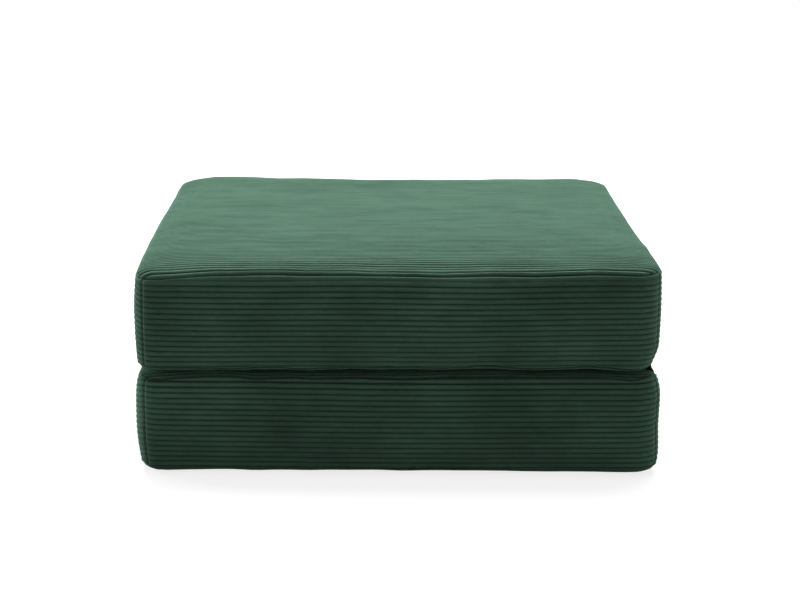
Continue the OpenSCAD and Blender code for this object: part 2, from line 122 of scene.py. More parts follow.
def spline_matrix(knots, at):
    """The rows that turn values at the knots into a natural cubic spline's values."""
    n = len(knots)
    h = np.diff(knots)
    a, b = np.zeros((n, n)), np.zeros((n, n))
    a[0, 0] = a[-1, -1] = 1
    for i in range(1, n - 1):
        a[i, i - 1], a[i, i], a[i, i + 1] = h[i - 1], 2 * (h[i - 1] + h[i]), h[i]
        b[i, i - 1], b[i, i], b[i, i + 1] = 6 / h[i - 1], -6 / h[i - 1] - 6 / h[i], 6 / h[i]
    second = np.linalg.solve(a, b)
    j = np.clip(np.searchsorted(knots, at) - 1, 0, n - 2)
    eye = np.eye(n)
    d = h[j]
    w1 = (at - knots[j]) / d
    w0 = 1 - w1
    return (w0[:, None] * eye[j] + w1[:, None] * eye[j + 1]
            + ((w0 ** 3 - w0) * d * d / 6)[:, None] * second[j]
            + ((w1 ** 3 - w1) * d * d / 6)[:, None] * second[j + 1])


# ---------------------------------------------------------------- the slab's outline
class Outline:
    """A rounded rectangle seen from above, with its own radius at each corner."""

    def __init__(self, hx, hy, radii):
        self.hx, self.hy, self.r = hx, hy, radii
        fl, fr, rr, rl = radii
        self.centres = [(-hx + fl, -hy + fl, fl, 180), (hx - fr, -hy + fr, fr, 270),
                        (hx - rr, hy - rr, rr, 0), (-hx + rl, hy - rl, rl, 90)]

    def side(self, k, steps=24):
        """Points and outward normals from one corner's seam to the next.

        The third result is a share that is 0 on the arcs and 1 halfway along the straight.
        """
        (ax, ay, ar, a0), (bx, by, br, b0) = self.centres[k], self.centres[(k + 1) % 4]
        t1 = np.radians(np.linspace(SEAMS[k], a0 + 90, steps))
        t2 = np.radians(np.linspace(b0, SEAMS[(k + 1) % 4], steps))
        p1 = np.c_[ax + ar * np.cos(t1), ay + ar * np.sin(t1)]
        p2 = np.c_[bx + br * np.cos(t2), by + br * np.sin(t2)]
        n1, n2 = np.c_[np.cos(t1), np.sin(t1)], np.c_[np.cos(t2), np.sin(t2)]
        s = np.linspace(0, 1, 60)[1:-1, None]
        pm = p1[-1] * (1 - s) + p2[0] * s
        nm = np.repeat(n1[-1:], len(s), 0)
        share = np.r_[np.zeros(steps), 1 - (2 * s[:, 0] - 1) ** 2, np.zeros(steps)]
        return np.vstack([p1, pm, p2]), np.vstack([n1, nm, n2]), share

    def row(self, y):
        """Where the row at y starts and ends."""
        out = []
        for sign, front, rear in ((-1, self.r[0], self.r[3]), (1, self.r[1], self.r[2])):
            r = np.where(y < 0, front, rear)
            over = np.clip(np.abs(y) - (self.hy - r), 0, r)
            out.append(sign * (self.hx - r + np.sqrt(np.maximum(r * r - over * over, 0))))
        return out[0], out[1]

    def past_centre(self, x, y):
        """How far along x and y a point lies past its nearest corner's centre, and the radius."""
        fl, fr, rr, rl = self.r
        r = np.where(x < 0, np.where(y < 0, fl, rl), np.where(y < 0, fr, rr))
        return np.abs(x) - self.hx + r, np.abs(y) - self.hy + r, r

    def depth(self, p):
        """Distance in from the outline."""
        qx, qy, r = self.past_centre(p[..., 0], p[..., 1])
        d = np.hypot(np.maximum(qx, 0), np.maximum(qy, 0)) + np.minimum(np.maximum(qx, qy), 0) - r
        return -d


OUT = Outline(HX, HY, RADII)


def rise(d, run, roll=0.65, power=3.0):
    """Share of its crown that a face has reached at a distance from its seam.

    There is a roll at the edge, then a slow swell.
    """
    return (roll * (1 - (1 - np.clip(d / run, 0, 1)) ** power)
            + (1 - roll) * np.sin(math.pi / 2 * np.clip(d / HY, 0, 1)))


def near_corner(x, y, cx, cy, wide, long):
    """1 at a corner, falling to 0 at a distance along each side."""
    return (1 - smooth(np.abs(x - cx) / wide)) * (1 - smooth(np.abs(y - cy) / long))


class Slab:
    """One slab in its own frame: the fold plane at zero, the outer face up."""

    def __init__(self, upper):
        self.upper = upper
        self.corner_swell = 0.0025 if upper else 0.0060
        self.mid_swell = 0.0095 if upper else 0.0085
        self.seam_wave = Waves(11 if upper else 23, 0.16, flat=0.2)
        self.seam_ripple = Waves(12 if upper else 24, 0.055, flat=0.2)
        self.sag = Waves(13 if upper else 25, 0.45, flat=0.3)

    def seam_shift(self, p, inner):
        """The seams wander a little up and down and in and out."""
        w, q = self.seam_wave(p), self.seam_ripple(p)
        s = np.zeros_like(p)
        x, y = p[..., 0], p[..., 1]
        if inner:
            s[..., 2] = 0.0012 * w + 0.0006 * q
            # the covers come closer at the front end of the hinge, and are drawn in there
            lowered, pulled_in = (0.0035, 0.0065) if self.upper else (0.0120, 0.0045)
            s[..., 2] -= lowered * near_corner(x, y, 0.482, -0.432, 0.050, 0.080)
            s[..., 0] -= pulled_in * near_corner(x, y, 0.482, -0.400, 0.090, 0.180)
            if not self.upper:
                # between its front corners the lower cover comes up to the upper one
                closer = 0.0055 + 0.0040 * smooth((x + 0.1) / 0.4)
                s[..., 2] -= (closer * smooth((-y - 0.20) / 0.15)
                              * (1 - smooth((np.abs(x) - 0.40) / 0.09)))
        else:
            s[..., 2] = 0.0005 * w + 0.0002 * q
            if self.upper:
                # the front seam waves a little, and all sink at the corners
                s[..., 2] += 0.0019 * np.cos(2 * math.pi * (x + 0.22) / 0.66) * smooth(-y / 0.3)
                s[..., 2] -= sum(deep * near_corner(x, y, *where) for *where, deep in OUTER_DROOPS)
        return s

    def cap(self, x, y, outer):
        """A point of a face, from its place seen from above."""
        p = np.stack([x, y, np.zeros_like(x)], -1)
        d = np.maximum(OUT.depth(p), 0)
        pressed = not outer or not self.upper
        crown = OUTER_CROWN if outer else INNER_CROWN
        if not pressed:
            h = FREE_SEAM + (crown - FREE_SEAM) * rise(d, FREE_RUN, 0.90, 1.8)
        elif outer:
            h = (crown + PRESS) * rise(d, 0.052, 0.70, 2.8)
        else:
            h = (crown + PRESS) * rise(d, RUN)
        if pressed:
            under = SHOULDER * np.log1p(np.exp(np.clip((crown - h) / SHOULDER, -30, 30)))
            h = crown - np.where(h > crown + 3 * SHOULDER, 0, under)
        z = OUTER_SEAM + h if outer else INNER_SEAM - h
        # the edges between two corners are drawn in
        near = 1 - np.clip(d / RUN, 0, 1)
        fx = np.clip(1 - (x / (HX - 0.055)) ** 2, 0, 1)
        fy = np.clip(1 - (y / (HY - 0.055)) ** 2, 0, 1)
        wy = smooth((np.abs(y) - HY + RUN + 0.01) / RUN)
        wx = smooth((np.abs(x) - HX + RUN + 0.01) / RUN)
        dx = np.where(x > 0, DRAW[1], DRAW[3])
        dy = np.where(y > 0, DRAW[2], DRAW[0])
        q = np.stack([x - np.sign(x) * dx * fy * near * wx,
                      y - np.sign(y) * dy * fx * near * wy, z], -1)
        return q + self.seam_shift(p, not outer) * np.exp(-d / 0.04)[..., None]

    def wall(self, k, a, level):
        """A point of wall k: a is the share of the way along it.

        The level goes from -1 at the inner seam to 1 at the outer one.
        """
        pts, nor, sh = OUT.side(k)
        arc = run_length(pts)
        s = a * arc[-1]
        base = np.stack([np.interp(s, arc, pts[:, i]) for i in (0, 1)], -1)
        n = np.stack([np.interp(s, arc, nor[:, i]) for i in (0, 1)], -1)
        n /= np.linalg.norm(n, axis=-1)[..., None]
        share = np.interp(s, arc, sh)
        # the lower slab's walls stand straighter up to the fold
        g = 1 - np.abs(level) ** (2.7 if self.upper else np.where(level < 0, 4.5, 2.7))
        full = (self.mid_swell, HINGE_WALL_SWELL, self.corner_swell, self.mid_swell)[k]
        swell = self.corner_swell + (full - self.corner_swell) * share
        if k == REAR:
            fade = smooth(np.minimum(s, arc[-1] - s) / 0.06)
            swell = swell * (1 - fade) + np.minimum(swell, REAR_WALL_SWELL) * fade
        out = g * swell - (1 - g) * DRAW[k] * share
        xy = base + n * out[..., None]
        mid, half = (OUTER_SEAM + INNER_SEAM) / 2, (OUTER_SEAM - INNER_SEAM) / 2
        z = mid + half * level
        flat = np.concatenate([base, np.zeros_like(z)[..., None]], -1)
        up, down = smooth((level - 0.3) / 0.7), smooth((-level - 0.45) / 0.55)
        top, low = self.seam_shift(flat, False), self.seam_shift(flat, True)
        if self.upper:
            top[..., 2] += FREE_SEAM
        low[..., 0] *= down
        return np.concatenate([xy, z[..., None]], -1) + top * up[..., None] + low * down[..., None]

    def place(self, p):
        """From the slab's frame to the object's."""
        q = p.copy()
        x, y, h = p[..., 0], p[..., 1], np.clip(p[..., 2] / 0.2, 0, 1)
        if self.upper:
            # the crown stands fuller at the rear left
            lift = (0.0036 * smooth((0.10 - x) / 0.45) * smooth((y + 0.25) / 0.5)
                    * smooth(h * 1.4 - 0.4))
            # the rear wall isn't tilted where the zip stands
            held = (1 - smooth((np.abs(x) - 0.406) / 0.06)) * smooth((y - 0.34) / 0.06) * (
                1 - smooth((np.abs(p[..., 2] - ZIP_MID) - 0.010) / 0.055))
            q[..., 2] = FOLD_Z + p[..., 2] + (TILT * (x + 0.5) + lift) * (1 - held)
            # the fold's end narrows towards the rear and over the hinge, and the free end is plump
            right, left = smooth((x - 0.30) / 0.19), smooth((-x - 0.30) / 0.19)
            q[..., 0] = (x - 0.0042 * right * smooth((y + 0.3) / 0.3)
                         - 0.0035 * right * (1 - smooth(h / 0.25))
                         - (0.0014 * left * (1 - smooth(np.abs(y + 0.18) / 0.30))
                            * smooth(h * 1.5 - 0.4))
                         + 0.0030 * left * smooth((y + 0.05) / 0.3))
        else:
            # its front right corner stands out, more so near the floor
            right = smooth((x - 0.36) / 0.12)
            out = (0.0012 + 0.0018 * h + 0.0060 * right * smooth((h - 0.5) / 0.4)
                   + 0.0030 * right * (1 - smooth(h / 0.6)))
            q[..., 0] = x + out * (1 - right * smooth((y + 0.405) / 0.045))
            q[..., 2] = FOLD_Z - p[..., 2]
        return q


# ---------------------------------------------------------------- the simulated swell of a cover
def wall_length(k):
    return run_length(OUT.side(k)[0])[-1]


def coarse_knots():
    """Where the coarse mesh of a face has its rows, and the shares across each row."""
    inner = HY - SIM_RIM
    return np.r_[-HY, np.linspace(-inner, inner, SIM_ROWS), HY], np.linspace(0, 1, SIM_COLUMNS)


def coarse_grid():
    """The coarse mesh's points seen from above, as x and y."""
    ys, ss = coarse_knots()
    xl, xr = OUT.row(ys)
    return xl[:, None] * (1 - ss) + xr[:, None] * ss, np.repeat(ys[:, None], len(ss), 1)


def simulate(slab):
    """Blows the cover up as cloth, from a coarse mesh whose seams are pinned.

    Gives how far each vertex moved, the vertices of the two faces and of the walls' rings, and
    the rings' levels.
    """
    x, y = coarse_grid()
    verts, faces, index = [], [], {}

    def put(p):
        key = tuple(np.round(p, 6))
        if key not in index:
            index[key] = len(verts)
            verts.append(p)
        return index[key]

    grids = {}
    for outer in (True, False):
        p = slab.cap(x, y, outer)
        ids = np.array([[put(q) for q in row] for row in p])
        grids[outer] = ids
        for i in range(ids.shape[0] - 1):
            for j in range(ids.shape[1] - 1):
                f = (ids[i, j], ids[i, j + 1], ids[i + 1, j + 1], ids[i + 1, j])
                faces.append(f if outer else f[::-1])
    # the walls stand on the faces' own edge points
    lt, lb = rim(grids[True]), rim(grids[False])
    levels = np.linspace(-1, 1, SIM_LEVELS)
    rings = [lb]
    vt, vb = np.array([verts[i] for i in lt]), np.array([verts[i] for i in lb])
    centre = vt[:, :2]
    normal = np.roll(centre, -1, 0) - np.roll(centre, 1, 0)
    normal = np.c_[normal[:, 1], -normal[:, 0]]
    normal /= np.linalg.norm(normal, axis=1)[:, None]
    for lev in levels[1:-1]:
        t = (lev + 1) / 2
        p = vb * (1 - t) + vt * t
        p[:, :2] += normal * (0.8 * slab.mid_swell * (1 - lev * lev))
        first = len(verts)
        verts.extend(p)
        rings.append(list(range(first, first + len(p))))
    rings.append(lt)
    for a, b in zip(rings, rings[1:]):
        for j in range(len(a)):
            n = (j + 1) % len(a)
            faces.append((a[j], a[n], b[n], b[j]))
    mesh = bpy.data.meshes.new("cover_form")
    mesh.from_pydata([tuple(v) for v in verts], [], [tuple(int(i) for i in f) for f in faces])
    o = bpy.data.objects.new("cover_form", mesh)
    bpy.context.scene.collection.objects.link(o)
    pinned = o.vertex_groups.new(name="seams")
    pinned.add([int(i) for i in set(lt) | set(lb)], 1.0, "REPLACE")
    cloth = o.modifiers.new("cloth", "CLOTH")
    st = cloth.settings
    st.quality = 6
    st.mass = 0.4
    st.tension_stiffness = st.compression_stiffness = 20
    st.shear_stiffness = 12
    st.bending_stiffness = 12
    st.air_damping = 3
    st.vertex_group_mass = "seams"
    st.shrink_min = st.shrink_max = -0.004
    st.use_pressure = True
    st.uniform_pressure_force = 3.0
    st.effector_weights.gravity = 0
    cloth.point_cache.frame_start, cloth.point_cache.frame_end = 1, SIM_FRAMES
    sc = bpy.context.scene
    for f in range(1, SIM_FRAMES + 1):
        sc.frame_set(f)
    blown = o.evaluated_get(bpy.context.evaluated_depsgraph_get())
    e = blown.to_mesh()
    now = np.zeros(len(e.vertices) * 3)
    e.vertices.foreach_get("co", now)
    blown.to_mesh_clear()
    sc.frame_set(1)
    bpy.data.objects.remove(o)
    bpy.data.meshes.remove(mesh)
    return now.reshape(-1, 3) - np.array(verts), grids, rings, levels


# ---------------------------------------------------------------- fine panels
def ends(width, inner):
    """Shares across a panel: close together at both ends, then about inner metres apart."""
    e = np.array(END_POINTS)
    n = max(2, int(round((width - 2 * e[-1]) / inner)))
    return np.r_[e, np.linspace(e[-1], width - e[-1], n + 1)[1:-1], width - e[::-1]] / width


def wale_profile(phase, opened=0.0):
    """Height of the cord over one wale, 0 in a groove and 1 on a ridge.

    Bent over an edge, the grooves open.
    """
    t = np.abs(2 * (phase - np.floor(phase)) - 1)
    return 1 - t ** (2.6 - 1.1 * opened)


def grid_faces(rows, cols, base, flip):
    i, j = np.meshgrid(np.arange(rows - 1), np.arange(cols - 1), indexing="ij")
    a = (base + i * cols + j).ravel()
    f = np.stack([a, a + 1, a + cols + 1, a + cols], -1)
    return f[:, ::-1] if flip else f


def grid_normals(p):
    du, dv = np.gradient(p, axis=1), np.gradient(p, axis=0)
    n = np.cross(du, dv)
    return n / np.maximum(np.linalg.norm(n, axis=-1), 1e-12)[..., None]


class Cover:
    """The fine panels of one slab, gathered into one mesh."""

    def __init__(self, slab, moved=None):
        self.slab, self.moved = slab, moved
        self.verts, self.faces, self.attr, self.part = [], [], [], []
        self.count = 0

    def add(self, p, flip, phase, opened, seam, part):
        rows, cols = p.shape[:2]
        self.verts.append(p.reshape(-1, 3))
        f = grid_faces(rows, cols, self.count, flip)
        self.faces.append(f)
        self.part += [part] * len(f)
        self.attr.append(np.stack([phase, opened + 0 * phase, seam], -1).reshape(-1, 3))
        self.count += rows * cols

    def finish_panel(self, p, n, phase, opened, seam_d, part, flip, tops, seam_in, depth, tone):
        """Raises the wales along the normals and sinks the edges into the seams.

        p, n are the panel's points and normals, phase counts its wales, opened says how far their
        grooves are open and seam_d how far the nearest seam is. tops is the share of a wale that
        stays under the form, seam_in and depth say how an edge sinks, and tone is the distance
        from a seam by which the material paints shade into the seam and pales the ridges beside it.
        """
        mask = smooth((seam_d - 0.0004) / 0.0030)
        ridge = wale_profile(phase, opened)
        wild = Waves(31, 0.09)(p) * 0.0002
        bold = np.clip((opened - 0.8) / 0.2, 0, 1)
        height = WALE * (1 + 0.4 * opened + 0.5 * bold)
        h = height * (ridge * (0.15 + 0.85 * mask) - tops) + wild
        sink = depth * np.exp(-(seam_d / 0.0022) ** 1.5)
        q = p + n * h[..., None] + seam_in * sink[..., None]
        self.add(q, flip, phase, opened, tone, part)

    def build(self):
        s = self.slab
        for outer in (True, False):
            self.cap_panel(s, outer)
        for k in range(4):
            # the rear wall is in two halves
            for low, high in ((True, False), (False, True)) if k == REAR else ((True, True),):
                self.wall_panel(s, k, low, high)

    def cap_panel(self, s, outer):
        n_rows = int(round(2 * HY / PITCH * ROWS_PER_WALE)) + 1
        y = np.linspace(-HY, HY, n_rows)
        share = ends(2 * HX, SPACING[0])
        xl, xr = OUT.row(y)
        x = xl[:, None] * (1 - share) + xr[:, None] * share
        yy = np.repeat(y[:, None], len(share), 1)
        p = s.cap(x, yy, outer)
        if self.moved is not None:
            shift, grids, _, _ = self.moved
            ys, ss = coarse_knots()
            field = shift[grids[outer]]
            a, b = spline_matrix(ys, y), spline_matrix(ss, share)
            field = np.einsum("ri,ijk,cj->rck", a, field, b)
            p = p + limited(field, outer, s)
        d = np.maximum(OUT.depth(np.stack([x, yy], -1)), 0)
        n = grid_normals(p) * (1 if outer else -1)
        n = np.where((d < 0.004)[..., None], np.array([0, 0, 1.0 if outer else -1.0]), n)
        # the cut edge isn't quite parallel to the wales
        flat = np.stack([x, yy, 0 * x], -1)
        cut = 0.10 * s.sag(flat) * np.exp(-d / 0.05)
        phase = (yy + HY) / PITCH + 0.05 + cut
        # over the front and rear edges the cord is bent open: the wales stand taller and their
        # painted groove shade is wider
        edge_d = HY - np.abs(yy)
        opened = np.exp(-(np.maximum(edge_d - 0.014, 0) / 0.010) ** 2)
        # on the free top the wales are opened everywhere, most towards its front and rear edges,
        # where the material also paints a highlight on the ridges
        if outer and s.upper:
            opened = 0.40 + 0.40 * (1 - smooth((edge_d - 0.08) / 0.20)) + 0.20 * opened
        else:
            opened = 0.8 * opened
        seam_in = edge_inward(x, yy) * 0.6 + np.array([0, 0, -0.8 if outer else 0.8])
        # on a face that lies on something the ridges only reach up to its form
        tops, depth = (0.55, 0.0044) if outer and s.upper else (1.0, 0.0028)
        # little light gets in between the slabs
        tone = d if outer else d * 0.45
        self.finish_panel(p, n, phase, opened, d, 0 if outer else 1, not outer, tops, seam_in,
                          depth, tone)

    def wall_panel(self, s, k, low, high):
        pts = OUT.side(k)[0]
        along = run_length(pts)
        arc = along[-1]
        share = ends(arc, SPACING[1])
        if k == REAR:
            # closer points where the zip's slot ends
            at = ZIP_HALF + np.array([-0.012, -0.006, -0.004, -0.002,
                                      0, 0.0015, 0.003, 0.0045, 0.007])
            share = np.unique(np.r_[share, np.interp(np.r_[-at, at], -pts[:, 0], along) / arc])
        half_h = (OUTER_SEAM - INNER_SEAM) / 2
        n_rows = int(round(2 * half_h / PITCH * ROWS_PER_WALE)) + 1
        if low and high:
            lev = np.linspace(-1, 1, n_rows)[:, None] * np.ones(len(share))
            slot = None
        else:
            # the rear wall's halves part round the zip's slot
            x = np.interp(share * arc, along, pts[:, 0])
            slot = ((SLOT_HALF + OVERLAP) * smooth((ZIP_HALF + 0.0045 - np.abs(x)) / 0.0085)
                    - OVERLAP)
            n_rows = n_rows // 2 + 1
            t = np.linspace(0, 1, n_rows)[:, None]
            parted = slot / half_h
            lev = -1 * (1 - t) - parted * t if low else parted * (1 - t) + 1 * t
        a = np.repeat(share[None], n_rows, 0)
        p = s.wall(k, a, lev)
        if self.moved is not None:
            p = p + self.wall_shift(s, k, share, lev)
        n = -grid_normals(p)
        n *= np.sign((n[..., :2] * p[..., :2]).sum(-1))[..., None]
        d_side = np.minimum(a, 1 - a) * arc
        d_up = (1 - lev) * half_h if high else 9 + 0 * lev
        d_down = (1 + lev) * half_h if low else 9 + 0 * lev
        d = np.minimum(d_side, np.minimum(d_up, d_down))
        # the wales keep their height where a seam wanders, so the seam cuts across them
        z = p[..., 2]
        if s.upper:
            # the wall turns under at its foot, so its wales crowd there
            z = z - 0.0036 * np.exp(-(z - INNER_SEAM) / 0.035)
        phase = (z - INNER_SEAM) / PITCH + (0.70 if s.upper else 0.73) + 0.10 * s.sag(p)
        if k == LEFT:
            # the side panel is sewn on with its wales rising to the rear
            phase = phase - 0.90 * np.tanh((1 - a) * arc / 0.05)
        seam_in = -n * 0.75
        seam_in[..., 2] += np.where(d_up < 0.012, -0.66, np.where(d_down < 0.012, 0.66, 0))
        if slot is not None:
            edge = np.abs(lev * half_h) - slot
            near = np.exp(-(np.abs(edge) / 0.0022) ** 2)
            p = p - n * (0.0023 * near * smooth(d_side / 0.012))[..., None]
            # a shallow hollow where the pull lies when the zip is open
            hollow = (np.exp(-(lev * half_h / 0.010) ** 2) * smooth((x - ZIP_HALF + 0.004) / 0.006)
                      * (1 - smooth((x - 0.428) / 0.012)))
            p = p - n * (0.0040 * hollow)[..., None]
        # an upright seam lies in a shallower groove than the long ones
        deep = np.where(d_side <= np.minimum(d_up, d_down), 0.0014, 0.0042 if s.upper else 0.0026)
        if low and not s.upper:
            # near the lower slab's fold seam the wales stand taller and their painted groove shade
            # is wider
            opened = 0.8 * np.exp(-((1 + lev) * half_h / 0.016) ** 2)
        elif s.upper and k == FRONT:
            # the turned-in edge behind the front seam fills the first groove
            opened = -np.exp(-((d_up - 0.007) / 0.006) ** 2)
        else:
            opened = 0.0
        tone = np.minimum(np.minimum(d_up, d_down), d_side + 0.0022)
        self.finish_panel(p, n, phase, opened, d, 2 + k, False, 0.55, seam_in, deep, tone)

    def wall_shift(self, s, k, share, lev):
        """How far the simulation moved the points of a wall."""
        shift, _, rings, levels = self.moved
        side = self.side_range(k)
        here = run_length(np.array(rim(np.stack(coarse_grid(), -1)))[side])
        field = np.array([shift[[r[i] for i in side]] for r in rings])
        along = np.einsum("ijk,cj->ick", field, spline_matrix(here / here[-1], share))
        if np.ptp(lev, axis=1).max() < 1e-6:
            out = np.einsum("ri,ick->rck", spline_matrix(levels, lev[:, 0]), along)
        else:
            out = np.zeros(lev.shape + (3,))
            for c in range(lev.shape[1]):
                out[:, c] = spline_matrix(levels, lev[:, c]) @ along[:, c]
        held = smooth(np.minimum(share, 1 - share) * wall_length(k) / 0.05)
        return limited(out, None, s) * held[None, :, None]

    def side_range(self, k):
        """Where wall k's points stand on the coarse mesh's rim.

        A long wall has one more of them round each corner.
        """
        nx, ny = SIM_COLUMNS, SIM_ROWS + 2
        total = 2 * nx + 2 * (ny - 2)
        start = [-1, nx, nx + ny - 3, 2 * nx + ny - 2][k]
        count = nx + 2 if k % 2 == 0 else ny - 2
        return [(start + i) % total for i in range(count)]


def edge_inward(x, y):
    """Unit vectors that point in from the nearest part of the outline."""
    qx, qy, _ = OUT.past_centre(x, y)
    corner = (qx > 0) & (qy > 0)
    gx = np.where(corner, qx, (qx > qy) * 1.0)
    gy = np.where(corner, qy, (qx <= qy) * 1.0)
    g = np.stack([-np.sign(x) * gx, -np.sign(y) * gy, 0 * x], -1)
    return g / np.maximum(np.linalg.norm(g, axis=-1), 1e-9)[..., None]


def limited(field, outer, s):
    """Caps how far the simulation may move a point."""
    size = np.linalg.norm(field, axis=-1)
    share = SIM_LIMIT * np.tanh(size / SIM_LIMIT) / np.maximum(size, 1e-9)
    field = field * share[..., None]
    if outer is False or (outer is True and not s.upper):
        # a face that lies on something stays flat, and keeps a hint of its folds
        field = field * np.array([1, 1, 0.05])
    return field


def make_cover(slab, name):
    moved = simulate(slab)
    c = Cover(slab, moved)
    c.build()
    v = slab.place(np.vstack(c.verts))
    # nothing dips under the floor, or into the other slab
    between = FOLD_Z + TILT * (v[:, 0] + 0.5) * 0.5
    low, high = (between + 0.00005, None) if slab.upper else (0, between - 0.00005)
    v[:, 2] = np.clip(v[:, 2], low, high)
    f = np.vstack(c.faces)
    if not slab.upper:
        f = f[:, ::-1]
    mesh = bpy.data.meshes.new(name)
    mesh.vertices.add(len(v))
    mesh.vertices.foreach_set("co", v.astype(np.float32).ravel())
    mesh.loops.add(f.size)
    mesh.loops.foreach_set("vertex_index", f.astype(np.int32).ravel())
    mesh.polygons.add(len(f))
    mesh.polygons.foreach_set("loop_start", np.arange(0, f.size, 4, dtype=np.int32))
    mesh.polygons.foreach_set("loop_total", np.full(len(f), 4, np.int32))
    mesh.update(calc_edges=True)
    mesh.validate()
    mesh.shade_smooth()
    attr = np.vstack(c.attr)
    for i, n in enumerate(("wale", "open", "seam")):
        at = mesh.attributes.new(n, "FLOAT", "POINT")
        at.data.foreach_set("value", attr[:, i].astype(np.float32))
    # on the short walls the cord runs along the depth
    across = np.isin(c.part, (2 + RIGHT, 2 + LEFT))
    mesh.polygons.foreach_set("material_index", across.astype(np.int32))
    o = bpy.data.objects.new(name, mesh)
    bpy.context.scene.collection.objects.link(o)
    return o


lower_slab, upper_slab = Slab(False), Slab(True)
covers = [make_cover(lower_slab, "lower_cover"), make_cover(upper_slab, "upper_cover")]


# ---------------------------------------------------------------- materials
# linear colours of the cord: the groove colour is painted shade, and the pale colour of the edge
# ridges a painted highlight
GROOVE_SHADE, RIDGE, EDGE_HIGHLIGHT = (0.006, 0.014, 0.010), (0.048, 0.098, 0.068), (0.082, 0.160, 0.116)
SEAM_PALE, SEAM_BOTTOM = (0.10, 0.15, 0.12), (0.003, 0.006, 0.005)
SHEEN = (0.40, 0.78, 0.56, 1)


class Nodes:
    """A small helper to write the nodes of a material or a world in one line each."""

    def __init__(self, owner, output="ShaderNodeOutputMaterial"):
        self.owner = owner
        owner.use_nodes = True
        self.t = owner.node_tree
        self.t.nodes.clear()
        self.out = self.t.nodes.new(output)

    def add(self, kind, links=None, **props):
        n = self.t.nodes.new(kind)
        for k, v in props.items():
            setattr(n, k, v)
        for k, v in (links or {}).items():
            socket = n.inputs[k]
            if isinstance(v, bpy.types.NodeSocket):
                self.t.links.new(v, socket)
            else:
                socket.default_value = v
        return n

    def math(self, op, a, b=0.0, clamp=False):
        return self.add("ShaderNodeMath", {0: a, 1: b, 2: 0.0}, operation=op,
                        use_clamp=clamp).outputs[0]

    def plus(self, a, b):
        return self.math("ADD", a, b)

    def minus(self, a, b, clamp=False):
        return self.math("SUBTRACT", a, b, clamp)

    def times(self, a, b, clamp=False):
        return self.math("MULTIPLY", a, b, clamp)

    def coordinates(self, kind="Object"):
        return self.add("ShaderNodeTexCoord").outputs[kind]

    def attribute(self, name):
        return self.add("ShaderNodeAttribute", attribute_name=name).outputs["Fac"]

    def wave(self, vector, scale, distortion, finer, direction):
        return self.add("ShaderNodeTexWave", {
            "Vector": vector, "Scale": scale, "Distortion": distortion, "Detail": 1.0,
            "Detail Scale": finer}, bands_direction=direction).outputs["Fac"]

    def bump(self, height, strength):
        return self.add("ShaderNodeBump", {"Height": height, "Strength": strength,
                                           "Distance": 1.0}).outputs[0]

    def seen_straight(self):
        """1 for what the camera, a mirror or clear glass sees, 0 for light that falls on it."""
        path = self.add("ShaderNodeLightPath").outputs
        return self.math("MAXIMUM", path["Is Camera Ray"],
                         self.math("MAXIMUM", path["Is Glossy Ray"], path["Is Transmission Ray"]))

    def noise(self, vector, scale, detail=2.0, rough=0.5):
        return self.add("ShaderNodeTexNoise", {"Vector": vector, "Scale": scale, "Detail": detail,
                                               "Roughness": rough}).outputs["Fac"]

    def scaled(self, vector, scale):
        return self.add("ShaderNodeMapping", {"Vector": vector, "Scale": scale}).outputs[0]

    def ramp(self, fac, stops):
        n = self.add("ShaderNodeValToRGB", {"Fac": fac})
        while len(n.color_ramp.elements) < len(stops):
            n.color_ramp.elements.new(0.5)
        for e, (pos, col) in zip(n.color_ramp.elements, stops):
            e.position, e.color = pos, (*col, 1)
        return n.outputs[0]

    def mix(self, fac, a, b, kind="MIX"):
        n = self.t.nodes.new("ShaderNodeMix")
        n.data_type, n.blend_type = "RGBA", kind
        for socket, v in ((n.inputs[0], fac), (n.inputs[6], a), (n.inputs[7], b)):
            if isinstance(v, bpy.types.NodeSocket):
                self.t.links.new(v, socket)
            elif isinstance(v, (tuple, list)):
                socket.default_value = (*v[:3], 1)
            else:
                socket.default_value = v
        return n.outputs[2]

    def finish(self, shader):
        self.t.links.new(shader, self.out.inputs[0])
        return self.owner


